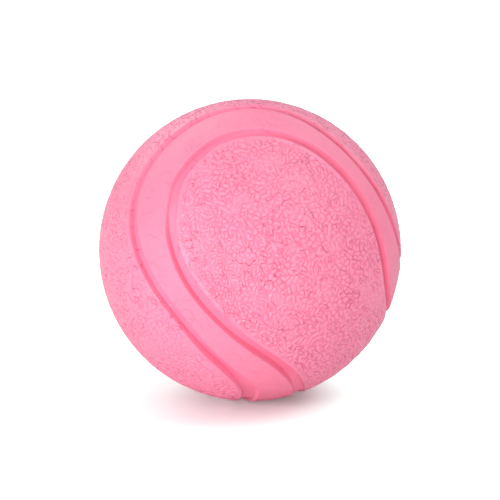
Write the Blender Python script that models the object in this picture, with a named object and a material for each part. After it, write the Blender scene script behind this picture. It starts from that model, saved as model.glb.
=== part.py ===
"""Dog toy ball: a hollow rubber core in two halves, two moulded cover panels and the raised
band that runs between them all the way round the ball, with a groove on each side of it.

The shapes are worked out about the ball's own axis, which goes through the waists of the two
panels. An empty then leans that axis to the way the ball lies at rest.
"""

import math

import bmesh
import bpy
import numpy as np
from mathutils import Matrix


# Driving dimensions, in metres
BALL_DIAMETER = 0.0640
COVER_THICKNESS = 0.0035
CORE_WALL = 0.0050
BAND_WIDTH_NARROW = 0.0054
BAND_WIDTH_WIDE = 0.0085
GROOVE_WIDTH = 0.0026
GROOVE_FLOOR_WIDTH = 0.0013
GROOVE_DEPTH = 0.0014
EDGE_ROUND = 0.0004
FLOOR_ROUND = 0.0003
TONGUE_WIDTH = 0.0016
TONGUE_HEIGHT = 0.0014
GLUE_GAP = 0.0003

# The seam's path, in degrees: how far its bends reach from the ball's own equator, and the
# sideways swings that swell the lobes of the panels and fill out their shoulders
SEAM_REACH = 57.4
LOBE_SWELL = 17.7
LOBE_SHOULDER = 2.1

# The way the ball lies at rest, in degrees: the ball is spun about its own axis, which is then
# leaned from the vertical towards a heading
SPIN = 73.0
LEAN = 40.2
HEADING = 171.6

# The colours of the rubber, as red, green and blue, and how rough each surface is
UPPER_CORE_COLOUR = (0.62, 0.20, 0.30)
LOWER_CORE_COLOUR = (0.55, 0.17, 0.26)
PANEL_COLOUR = (0.94, 0.34, 0.51)
BAND_COLOUR = (0.95, 0.36, 0.53)
CORE_ROUGHNESS = 0.7
PANEL_ROUGHNESS = 0.5
BAND_ROUGHNESS = 0.45

# How finely the surfaces are divided. The seam's stations are a multiple of 8, so that one falls
# on each of its bends and crossings.
SEAM_STATIONS = 112
SEAM_STEPS_PER_STATION = 64
PANEL_RINGS = 7
LINING_RINGS = 3
EDGE_STEPS = 2
CORE_SECTORS = 36
CORE_OUTER_STEPS = 8
CORE_INNER_STEPS = 6

# How close two points are for them to be one, and how sharp a bend is shaded as an edge
WELD = 0.000001
SHARP_BEND = math.radians(35.0)

BALL_RADIUS = BALL_DIAMETER / 2
LINING_RADIUS = BALL_RADIUS - COVER_THICKNESS
CORE_RADIUS = LINING_RADIUS - GLUE_GAP
HOLLOW_RADIUS = CORE_RADIUS - CORE_WALL
WALL_RUN = (GROOVE_WIDTH - GROOVE_FLOOR_WIDTH) / 2
WALL_SLOPE = math.atan2(GROOVE_DEPTH, WALL_RUN)
# A panel's spine runs both ways from its waist, and never gets further from it than this
SPINE_REACH = math.radians(110.0)


def clear_scene():
    """Take away whatever the scene holds."""
    for thing in list(bpy.data.objects):
        bpy.data.objects.remove(thing, do_unlink=True)


def rubber(name, colour, roughness):
    """A soft matt rubber of one colour."""
    material = bpy.data.materials.new(name)
    material.use_nodes = True
    shader = material.node_tree.nodes["Principled BSDF"]
    shader.inputs["Base Color"].default_value = (*colour, 1.0)
    shader.inputs["Roughness"].default_value = roughness
    shader.inputs["Metallic"].default_value = 0.0
    material.diffuse_color = (*colour, 1.0)
    return material


def seam_angles(turn):
    """Latitude and longitude of the seam's centreline, for a turn from 0 to a full circle."""
    latitude = math.radians(SEAM_REACH) * np.sin(2 * turn)
    swell = math.radians(LOBE_SWELL) * np.sin(4 * turn)
    shoulder = math.radians(LOBE_SHOULDER) * np.sin(8 * turn)
    return latitude, turn - swell + shoulder


def seam_rates(turn):
    """How fast the seam's latitude and longitude change with the turn."""
    climb = 2 * math.radians(SEAM_REACH) * np.cos(2 * turn)
    swell = 4 * math.radians(LOBE_SWELL) * np.cos(4 * turn)
    shoulder = 8 * math.radians(LOBE_SHOULDER) * np.cos(8 * turn)
    return climb, 1 - swell + shoulder


def seam_frame(turn):
    """Points on the centreline, on a ball of radius 1, and the directions square to its run.

    The second array lies in the ball's surface and points to the upper panel.
    """
    latitude, longitude = seam_angles(turn)
    climb, swing = seam_rates(turn)
    level = np.zeros_like(turn)
    outward = np.stack([np.cos(longitude), np.sin(longitude), level], axis=1)
    east = np.stack([-np.sin(longitude), np.cos(longitude), level], axis=1)
    up = np.array([0.0, 0.0, 1.0])
    point = outward * np.cos(latitude)[:, None] + up * np.sin(latitude)[:, None]
    north = up * np.cos(latitude)[:, None] - outward * np.sin(latitude)[:, None]
    run = north * climb[:, None] + east * (np.cos(latitude) * swing)[:, None]
    run /= np.linalg.norm(run, axis=1)[:, None]
    return point, np.cross(point, run)


def seam_turns():
    """Turns that set the stations at equal distances along the seam."""
    fine = np.linspace(0.0, 2 * math.pi, SEAM_STEPS_PER_STATION * SEAM_STATIONS + 1)
    point, _ = seam_frame(fine)
    travelled = np.concatenate([[0.0], np.cumsum(np.linalg.norm(np.diff(point, axis=0), axis=1))])
    wanted = np.arange(SEAM_STATIONS) * travelled[-1] / SEAM_STATIONS
    return np.interp(wanted, travelled, fine)


def band_half_angle(turn):
    """Half the band's width as an angle: narrow where the seam runs straight, wide on its bends."""
    middle = (BAND_WIDTH_NARROW + BAND_WIDTH_WIDE) / 4 / BALL_RADIUS
    swell = (BAND_WIDTH_WIDE - BAND_WIDTH_NARROW) / 4 / BALL_RADIUS
    return middle - swell * np.cos(4 * turn)


def beside_seam(turn, angle, depth):
    """A closed line of points at an angle to the side of the seam and a depth below the ball."""
    point, side = seam_frame(turn)
    angle = np.broadcast_to(angle, turn.shape)
    direction = point * np.cos(angle)[:, None] + side * np.sin(angle)[:, None]
    return direction * (BALL_RADIUS - depth)


def rounded_edge():
    """The top edge of a groove's wall: pairs of reach into the groove and depth.

    The reach counts from the sharp corner that the top face and the sloping wall would make.
    """
    setback = EDGE_ROUND * math.tan(WALL_SLOPE / 2)
    pairs = []
    for step in range(EDGE_STEPS + 1):
        angle = WALL_SLOPE * step / EDGE_STEPS
        pairs.append((EDGE_ROUND * math.sin(angle) - setback, EDGE_ROUND * (1 - math.cos(angle))))
    return pairs


def rounded_floor():
    """The corner between a groove's sloping wall and its floor: pairs of reach and depth."""
    setback = FLOOR_ROUND * math.tan(WALL_SLOPE / 2)
    pairs = []
    for step in range(EDGE_STEPS + 1):
        angle = WALL_SLOPE * (1 - step / EDGE_STEPS)
        reach = WALL_RUN + setback - FLOOR_ROUND * math.sin(angle)
        pairs.append((reach, GROOVE_DEPTH - FLOOR_ROUND * (1 - math.cos(angle))))
    return pairs


def loft(bm, rings, closed_across):
    """Join rings of points, each closed, by four-sided faces."""
    rows = [[bm.verts.new(tuple(place)) for place in ring] for ring in rings]
    pairs = list(zip(rows, rows[1:]))
    if closed_across:
        pairs.append((rows[-1], rows[0]))
    for lower, upper in pairs:
        count = len(lower)
        for index in range(count):
            after = (index + 1) % count
            bm.faces.new((lower[index], lower[after], upper[after], upper[index]))


def finish_mesh(bm, name):
    """Weld the points that meet, turn the faces outwards and shade the round parts smooth."""
    bmesh.ops.remove_doubles(bm, verts=bm.verts, dist=WELD)
    bmesh.ops.recalc_face_normals(bm, faces=bm.faces)
    mesh = bpy.data.meshes.new(name)
    bm.to_mesh(mesh)
    bm.free()
    mesh.shade_smooth()
    mesh.set_sharp_from_angle(angle=SHARP_BEND)
    return mesh


def place(name, mesh, material, parent):
    """Put a mesh in the scene as a named piece that leans with the ball."""
    piece = bpy.data.objects.new(name, mesh)
    piece.data.materials.clear()
    piece.data.materials.append(material)
    bpy.context.scene.collection.objects.link(piece)
    piece.parent = parent
    return piece


def band_mesh():
    """The band: a raised strip with a low ledge along each side, carried round the seam.

    The ledges are the floors of the grooves. They end a glue gap short of the panels' feet.
    """
    turn = seam_turns()
    half = band_half_angle(turn)
    edge = rounded_edge()
    ledge_end = GROOVE_WIDTH - WALL_RUN - GLUE_GAP * BALL_RADIUS / LINING_RADIUS
    # Each row gives a share of the band's half width, a reach beyond it and a depth
    side = [(0.5, edge[0][0] / 2, 0.0)]
    side += [(1.0, reach, depth) for reach, depth in edge]
    side += [(1.0, reach, depth) for reach, depth in rounded_floor()]
    side += [(1.0, ledge_end, GROOVE_DEPTH), (1.0, ledge_end, COVER_THICKNESS)]
    side += [(0.5, ledge_end / 2, COVER_THICKNESS)]
    near = [(1.0, share, reach, depth) for share, reach, depth in side]
    far = [(-1.0, share, reach, depth) for share, reach, depth in reversed(side)]
    middle_below = (1.0, 0.0, 0.0, COVER_THICKNESS)
    middle_above = (1.0, 0.0, 0.0, 0.0)
    rings = []
    for sign, share, reach, depth in [middle_above] + near + [middle_below] + far:
        rings.append(beside_seam(turn, sign * (share * half + reach / BALL_RADIUS), depth))
    bm = bmesh.new()
    loft(bm, rings, closed_across=True)
    return finish_mesh(bm, "seam_band")


def spine_points(rim):
    """For each point of a panel's rim, the point on the panel's spine that its rib starts from.

    The spine is an arc over the panel's waist from the middle of one lobe to that of the other.
    A rib starts square to the spine near the waist and ever closer to the spine's end on a lobe.
    """
    along = np.array([-math.sin(math.pi / 4), math.cos(math.pi / 4), 0.0])
    foot = np.arctan2(rim @ along, rim[:, 2])
    angle = SPINE_REACH * np.tanh(foot / SPINE_REACH)
    return np.sin(angle)[:, None] * along + np.cos(angle)[:, None] * np.array([0.0, 0.0, 1.0])


def ribs(start, end, share):
    """Points a share of the way along the great circle arcs from one set of points to another."""
    span = np.arccos(np.clip(np.sum(start * end, axis=1), -1.0, 1.0))[:, None]
    return (np.sin((1 - share) * span) * start + np.sin(share * span) * end) / np.sin(span)


def panel_mesh():
    """A cover panel: two lobes joined by a waist, curved with the ball, with a rounded rim."""
    turn = seam_turns()
    half = band_half_angle(turn) + GROOVE_WIDTH / BALL_RADIUS
    edge = rounded_edge()
    foot = half - WALL_RUN / BALL_RADIUS
    rim = beside_seam(turn, half - edge[0][0] / BALL_RADIUS, 0.0) / BALL_RADIUS
    spine = spine_points(rim)
    rings = [ribs(spine, rim, ring / PANEL_RINGS) * BALL_RADIUS for ring in range(PANEL_RINGS + 1)]
    for reach, depth in edge[1:]:
        rings.append(beside_seam(turn, half - reach / BALL_RADIUS, depth))
    rings.append(beside_seam(turn, foot, GROOVE_DEPTH))
    lining = beside_seam(turn, foot, COVER_THICKNESS) / LINING_RADIUS
    for ring in range(LINING_RINGS, -1, -1):
        rings.append(ribs(spine, lining, ring / LINING_RINGS) * LINING_RADIUS)
    bm = bmesh.new()
    loft(bm, rings, closed_across=False)
    return finish_mesh(bm, "panel")


def arc(radius, lowest, steps):
    """Profile points on a quarter circle, from the pole down to a lowest height."""
    last = math.acos(lowest / radius)
    angles = [last * step / steps for step in range(steps + 1)]
    return [(radius * math.sin(angle), radius * math.cos(angle)) for angle in angles]


def turned_half(name, rim, side):
    """A half shell of the core, turned about the ball's own axis.

    The rim is a list of radius and height steps between the outer face and the hollow. The side
    is 1 for the upper half and -1 for the lower one.
    """
    lowest = GLUE_GAP / 2
    profile = arc(CORE_RADIUS, lowest, CORE_OUTER_STEPS) + rim
    profile += reversed(arc(HOLLOW_RADIUS, lowest, CORE_INNER_STEPS))
    bm = bmesh.new()
    points = [bm.verts.new((radius, 0.0, side * height)) for radius, height in profile]
    for first, second in zip(points, points[1:]):
        bm.edges.new((first, second))
    bmesh.ops.spin(
        bm,
        geom=bm.verts[:] + bm.edges[:],
        axis=(0.0, 0.0, 1.0),
        cent=(0.0, 0.0, 0.0),
        angle=2 * math.pi,
        steps=CORE_SECTORS,
    )
    return finish_mesh(bm, name)


def tongue_half_mesh():
    """The upper half of the core, with a tongue round the middle of its rim."""
    middle = (CORE_RADIUS + HOLLOW_RADIUS) / 2
    outer = middle + TONGUE_WIDTH / 2
    inner = middle - TONGUE_WIDTH / 2
    face = GLUE_GAP / 2
    tip = face - TONGUE_HEIGHT
    rim = [(outer, face), (outer, tip), (inner, tip), (inner, face)]
    return turned_half("core_tongue_half", rim, 1)


def socket_half_mesh():
    """The lower half of the core, with the channel that the tongue sits in."""
    middle = (CORE_RADIUS + HOLLOW_RADIUS) / 2
    outer = middle + TONGUE_WIDTH / 2 + GLUE_GAP
    inner = middle - TONGUE_WIDTH / 2 - GLUE_GAP
    face = GLUE_GAP / 2
    bottom = TONGUE_HEIGHT - face + GLUE_GAP
    rim = [(outer, face), (outer, bottom), (inner, bottom), (inner, face)]
    return turned_half("core_socket_half", rim, -1)


def ball_axis():
    """The empty that spins and leans the ball to the way it lies."""
    axis = bpy.data.objects.new("ball_axis", None)
    bpy.context.scene.collection.objects.link(axis)
    turn = Matrix.Rotation(math.radians(HEADING), 4, "Z")
    turn = turn @ Matrix.Rotation(math.radians(LEAN), 4, "Y")
    axis.matrix_world = turn @ Matrix.Rotation(math.radians(SPIN), 4, "Z")
    return axis


def build():
    """Model the ball."""
    clear_scene()
    axis = ball_axis()
    upper_core_rubber = rubber("upper_core_rubber", UPPER_CORE_COLOUR, CORE_ROUGHNESS)
    place("upper_core_half", tongue_half_mesh(), upper_core_rubber, axis)
    lower_core_rubber = rubber("lower_core_rubber", LOWER_CORE_COLOUR, CORE_ROUGHNESS)
    place("lower_core_half", socket_half_mesh(), lower_core_rubber, axis)
    place("upper_panel", panel_mesh(), rubber("upper_panel_rubber", PANEL_COLOUR, PANEL_ROUGHNESS), axis)
    lower_rubber = rubber("lower_panel_rubber", PANEL_COLOUR, PANEL_ROUGHNESS)
    lower = place("lower_panel", panel_mesh(), lower_rubber, axis)
    lower.rotation_euler = (math.pi, 0.0, 0.0)
    place("seam_band", band_mesh(), rubber("band_rubber", BAND_COLOUR, BAND_ROUGHNESS), axis)


build()
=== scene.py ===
"""Looks of a pink rubber fetch ball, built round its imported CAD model.

Two cover panels with a moulded leather grain and the smooth band that winds between them lie on
a hollow core in two halves. Each piece is a closed surface worked out with numpy, and it stands
for the CAD node that has its shape and place. Sizes are in metres and angles in radians, unless
a name or its note says otherwise.
"""

import logging
import math
from collections.abc import Mapping
from dataclasses import dataclass, field
from enum import Enum, IntEnum
from typing import Any

import bpy
import numpy as np
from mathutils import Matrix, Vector


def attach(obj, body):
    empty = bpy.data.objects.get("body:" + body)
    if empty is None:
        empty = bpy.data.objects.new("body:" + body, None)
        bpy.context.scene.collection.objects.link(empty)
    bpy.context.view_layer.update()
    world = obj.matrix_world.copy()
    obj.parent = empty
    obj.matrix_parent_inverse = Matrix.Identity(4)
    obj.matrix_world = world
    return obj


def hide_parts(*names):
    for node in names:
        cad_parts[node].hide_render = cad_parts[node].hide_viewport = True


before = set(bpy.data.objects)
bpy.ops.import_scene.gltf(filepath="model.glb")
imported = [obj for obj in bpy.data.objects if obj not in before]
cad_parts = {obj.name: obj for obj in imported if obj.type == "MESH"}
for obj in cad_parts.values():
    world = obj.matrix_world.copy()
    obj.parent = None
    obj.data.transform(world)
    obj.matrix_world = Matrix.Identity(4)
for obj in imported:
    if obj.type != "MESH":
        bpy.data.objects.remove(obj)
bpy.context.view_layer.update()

Array = np.ndarray
Colour = tuple[float, float, float]

LOG = logging.getLogger("fetch_ball")
BODY = "root"

# The ball, as in the CAD model, but with steeper walls and sharper edges in the grooves
BALL_RADIUS = 0.0320
COVER_THICKNESS = 0.0035
CORE_WALL = 0.0050
BAND_WIDTH_NARROW = 0.0054
BAND_WIDTH_WIDE = 0.0085
GROOVE_WIDTH = 0.0026
GROOVE_FLOOR_WIDTH = 0.0018
GROOVE_DEPTH = 0.0014
EDGE_ROUND = 0.00034
FLOOR_ROUND = 0.0003
TONGUE_WIDTH = 0.0016
TONGUE_HEIGHT = 0.0014
GLUE_GAP = 0.0003

LINING_RADIUS = BALL_RADIUS - COVER_THICKNESS
CORE_RADIUS = LINING_RADIUS - GLUE_GAP
HOLLOW_RADIUS = CORE_RADIUS - CORE_WALL
WALL_RUN = (GROOVE_WIDTH - GROOVE_FLOOR_WIDTH) / 2
FULL_TURN = 2 * math.pi

# The tip of a panel's lobe, as the seam's turn there and as a level way from the ball's axis
TIP_TURN = 0.75 * math.pi
TIP_WAY = np.array([-math.sqrt(0.5), math.sqrt(0.5), 0.0])


class Seed(IntEnum):
    """Seeds of the random draws, one for each use."""

    COBBLES = 5
    GROUND_SWELLS = 21
    GRAIN_PATCHES = 23
    BAND_HOLLOWS = 27
    PANEL_EDGE = 31
    BAND_EDGE = 41
    FLOW = 61
    SLIMNESS = 64


def smooth_step(share: Array) -> Array:
    """Rise from 0 to 1 with level ends: three times the share squared less twice its cube."""
    held = np.clip(share, 0.0, 1.0)
    return held * held * (3.0 - 2.0 * held)


def unit(vectors: Array) -> Array:
    """Scale each vector to a length of 1."""
    return vectors / np.maximum(np.linalg.norm(vectors, axis=-1, keepdims=True), 1e-12)


def dot(first: Array, second: Array) -> Array:
    """Scalar products of two arrays of vectors."""
    return np.sum(first * second, axis=-1)


class Ends(Enum):
    """How a surface made of rings is closed beyond its first and last ring."""

    POINTS = "each end ring is a single point, a pole"
    FOLDS = "each end ring is a line that is walked there and back"
    JOINED = "the last ring is joined to the first"


@dataclass
class RingSurface:
    """Closed shells, each of four-sided faces between rings that have equally many points.

    Attributes:
        rings: places, an array of shells by rings by points by 3.
        ends: how each shell closes.
        marks: named numbers for the points, such as their relief, each shells by rings by points.
    """

    rings: Array
    ends: Ends
    marks: dict[str, Array] = field(default_factory=dict)

    def index(self) -> Array:
        """Number the points, so that the points that an end ring merges have one number.

        Returns:
            An array of shells by rings by points. Joined ends repeat the first ring at the end.
        """
        shells, rows, count = self.rings.shape[:3]
        number = np.arange(shells * rows * count).reshape(shells, rows, count)
        place = np.arange(count)
        for row in (0, -1):
            if self.ends is Ends.POINTS:
                number[:, row] = number[:, row, :1]
            elif self.ends is Ends.FOLDS:
                number[:, row] = number[:, row, np.minimum(place, count - place) % count]
        if self.ends is Ends.JOINED:
            number = np.concatenate([number, number[:, :1]], axis=1)
        return number

    def faces(self) -> tuple[Array, Array]:
        """Corners of the faces, four-sided ones and the triangles round the poles.

        The signed volume, a sixth of the sum of the triple products of the corners of the
        triangles that the faces divide into, is below zero where the faces point inwards.
        They are then all turned round.

        Returns:
            Numbers of the corners, as an array of faces by 4 and one of faces by 3.
        """
        number = self.index()
        after = np.roll(number, -1, axis=2)
        corners = np.stack([number[:, :-1], after[:, :-1], after[:, 1:], number[:, 1:]], axis=-1)
        corners = corners.reshape(-1, 4)
        at_first = corners[:, 0] == corners[:, 1]
        at_last = corners[:, 2] == corners[:, 3]
        quads = corners[~(at_first | at_last)]
        triangles = np.concatenate([corners[at_first][:, [0, 2, 3]], corners[at_last][:, [0, 1, 2]]])
        places = self.rings.reshape(-1, 3)
        halves = np.concatenate([quads[:, [0, 1, 2]], quads[:, [0, 2, 3]], triangles])
        first, second, third = (places[halves[:, corner]] for corner in range(3))
        if dot(first, np.cross(second, third)).sum() < 0:
            return quads[:, ::-1], triangles[:, ::-1]
        return quads, triangles

    def mesh(self, name: str) -> bpy.types.Mesh:
        """Write the surface into a new smooth mesh.

        Args:
            name: the mesh's name.

        Returns:
            The mesh, with each of the marks as an attribute of its points.
        """
        quads, triangles = self.faces()
        corners = np.concatenate([quads.ravel(), triangles.ravel()])
        used, corners = np.unique(corners, return_inverse=True)
        starts = np.concatenate([
            np.arange(len(quads)) * 4,
            len(quads) * 4 + np.arange(len(triangles)) * 3,
        ])
        mesh = bpy.data.meshes.new(name)
        mesh.vertices.add(len(used))
        mesh.vertices.foreach_set("co", self.rings.reshape(-1, 3)[used].astype(np.float32).ravel())
        mesh.loops.add(len(corners))
        mesh.loops.foreach_set("vertex_index", corners.astype(np.int32))
        mesh.polygons.add(len(starts))
        mesh.polygons.foreach_set("loop_start", starts.astype(np.int32))
        mesh.update(calc_edges=True)
        mesh.shade_smooth()
        for mark, values in self.marks.items():
            attribute = mesh.attributes.new(mark, "FLOAT", "POINT")
            attribute.data.foreach_set("value", values.ravel()[used].astype(np.float32))
        return mesh


@dataclass(frozen=True)
class Attitude:
    """The way the ball lies at rest: its own axis leaned from the vertical towards a heading.

    Attributes:
        spin_degrees: turn of the ball about its own axis.
        lean_degrees: lean of that axis from the vertical.
        heading_degrees: where it leans to, from +X.
    """

    spin_degrees: float = 73.0
    lean_degrees: float = 40.2
    heading_degrees: float = 171.6

    @staticmethod
    def turn(axis: int, degrees: float) -> Array:
        """Matrix of a right-handed turn about an axis.

        Args:
            axis: number of the axis, 0 for X.
            degrees: how far it turns.

        Returns:
            A matrix of 3 by 3, with the cosine twice on its diagonal and the sine beside it.
        """
        angle = math.radians(degrees)
        first, second = (axis + 1) % 3, (axis + 2) % 3
        matrix = np.eye(3)
        matrix[first, first] = matrix[second, second] = math.cos(angle)
        matrix[second, first] = math.sin(angle)
        matrix[first, second] = -math.sin(angle)
        return matrix

    def lay(self, places: Array) -> Array:
        """Turn places from the ball's own frame to the way it lies."""
        matrix = self.turn(2, self.heading_degrees) @ self.turn(1, self.lean_degrees)
        return places @ (matrix @ self.turn(2, self.spin_degrees)).T


@dataclass(frozen=True)
class Seam:
    """The line that the middle of the band follows, and the widths beside it.

    For a turn from 0 to a full circle, the latitude is the reach times the sine of twice the
    turn. The longitude is the turn, less the swell times the sine of four times the turn, plus
    the shoulder times the sine of eight times the turn.

    Attributes:
        reach: how far the line's bends get from the ball's own equator.
        swell: sideways swing that widens the panels' lobes.
        shoulder: smaller swing that fills out the lobes' shoulders.
    """

    reach: float = math.radians(57.4)
    swell: float = math.radians(17.7)
    shoulder: float = math.radians(2.1)

    def points_and_sides(self, turn: Array) -> tuple[Array, Array]:
        """Places on the line, on a ball of radius 1, and directions square to it.

        The line's run is its rate of climb to the north plus the cosine of its latitude times
        its rate of swing to the east. The side is the product of the place and that run, and
        points to the panel round the ball's north pole.

        Args:
            turn: the seam's turn at each station.

        Returns:
            The places and the directions, each an array of stations by 3.
        """
        latitude = self.reach * np.sin(2 * turn)
        longitude = turn - self.swell * np.sin(4 * turn) + self.shoulder * np.sin(8 * turn)
        climb = 2 * self.reach * np.cos(2 * turn)
        swing = 1 - 4 * self.swell * np.cos(4 * turn) + 8 * self.shoulder * np.cos(8 * turn)
        level = np.zeros_like(turn)
        outward = np.stack([np.cos(longitude), np.sin(longitude), level], axis=-1)
        east = np.stack([-np.sin(longitude), np.cos(longitude), level], axis=-1)
        up = np.array([0.0, 0.0, 1.0])
        point = outward * np.cos(latitude)[:, None] + up * np.sin(latitude)[:, None]
        north = up * np.cos(latitude)[:, None] - outward * np.sin(latitude)[:, None]
        run = unit(north * climb[:, None] + east * (np.cos(latitude) * swing)[:, None])
        return point, np.cross(point, run)

    def even_turns(self, count: int, start: float, steps: int = 40) -> Array:
        """Turns that put stations at equal distances along the line.

        Args:
            count: how many stations there are.
            start: turn of the first station.
            steps: fine steps per station, over which the line's length is summed.

        Returns:
            The turn at each station.
        """
        fine = start + np.linspace(0.0, FULL_TURN, steps * count + 1)
        point, _ = self.points_and_sides(fine)
        lengths = np.linalg.norm(np.diff(point, axis=0), axis=1)
        travelled = np.concatenate([[0.0], np.cumsum(lengths)])
        return np.interp(np.arange(count) * travelled[-1] / count, travelled, fine)

    def band_half(self, turn: Array) -> Array:
        """Half the band's width as an angle: narrow where the line runs straight, wide on bends.

        It swings about its mean by the cosine of four times the turn.

        Args:
            turn: the seam's turn at each station.

        Returns:
            The angle at each station.
        """
        middle = (BAND_WIDTH_NARROW + BAND_WIDTH_WIDE) / 4 / BALL_RADIUS
        swell = (BAND_WIDTH_WIDE - BAND_WIDTH_NARROW) / 4 / BALL_RADIUS
        return middle - swell * np.cos(4 * turn)

    def beside(self, turn: Array, angle: Array) -> Array:
        """Directions at an angle to the side of the line."""
        point, side = self.points_and_sides(turn)
        return point * np.cos(angle)[:, None] + side * np.sin(angle)[:, None]


@dataclass(frozen=True)
class SoftNoise:
    """Smooth noise of about -1 to 1, the same from run to run.

    Each corner of a cell has an arrow, whose product with the way from that corner is faded to
    the other corners by 6 times the fifth power of the share less 15 times the fourth plus 10
    times the third.

    Attributes:
        seed: seed of the arrows.
        wave: size of a cell.
        cells: cells along each side of the cube of arrows, which repeats.
        gain: what brings the noise to about -1 to 1.
    """

    seed: int
    wave: float
    cells: int = 64
    gain: float = 1.5

    def arrows(self) -> Array:
        """Draw the arrows of the cube's cells.

        The draw starts as many numbers on as the arrows have, which gives the grain that was
        chosen for its looks.

        Returns:
            Vectors of length 1, an array of cells by cells by cells by 3.
        """
        shape = (self.cells, self.cells, self.cells, 3)
        draw = np.random.default_rng(self.seed)
        draw.bit_generator.advance(math.prod(shape))
        return unit(draw.normal(size=shape)).astype(np.float32)

    def at(self, places: Array) -> Array:
        """Work out the noise at some places.

        Args:
            places: an array of places by 3.

        Returns:
            The noise at each.
        """
        arrows = self.arrows()
        scaled = places / self.wave
        home = np.floor(scaled).astype(int)
        inside = scaled - home
        fade = inside**3 * (inside * (inside * 6 - 15) + 10)
        total = np.zeros(len(scaled))
        for corner in np.ndindex(2, 2, 2):
            cell = (home + corner) % self.cells
            weight = np.prod(np.where(corner, fade, 1 - fade), axis=1)
            total += weight * dot(arrows[tuple(cell.T)], inside - corner)
        return total * self.gain


@dataclass(frozen=True)
class Stretch:
    """A stretch of a groove that is unlike the rest, as it was moulded or is worn.

    Attributes:
        lower_side: whether it is in the groove beside the lower panel.
        turn: the seam's turn at its middle.
        reach: how many radians of turn it fades over.
        shift: how much further from the seam's middle the groove lies there.
        widening: how much wider it is.
        depth: share of its depth that is added.
        edge: share of its edges' radius that is added.
    """

    lower_side: bool
    turn: float
    reach: float
    shift: float = 0.0
    widening: float = 0.0
    depth: float = 0.0
    edge: float = 0.0

    def nearness(self, turn: Array) -> Array:
        """Fall from 1 in its middle with the bell curve of its reach."""
        away = (turn - self.turn + math.pi) % FULL_TURN - math.pi
        return np.exp(-0.5 * (away / self.reach) ** 2)


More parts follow.
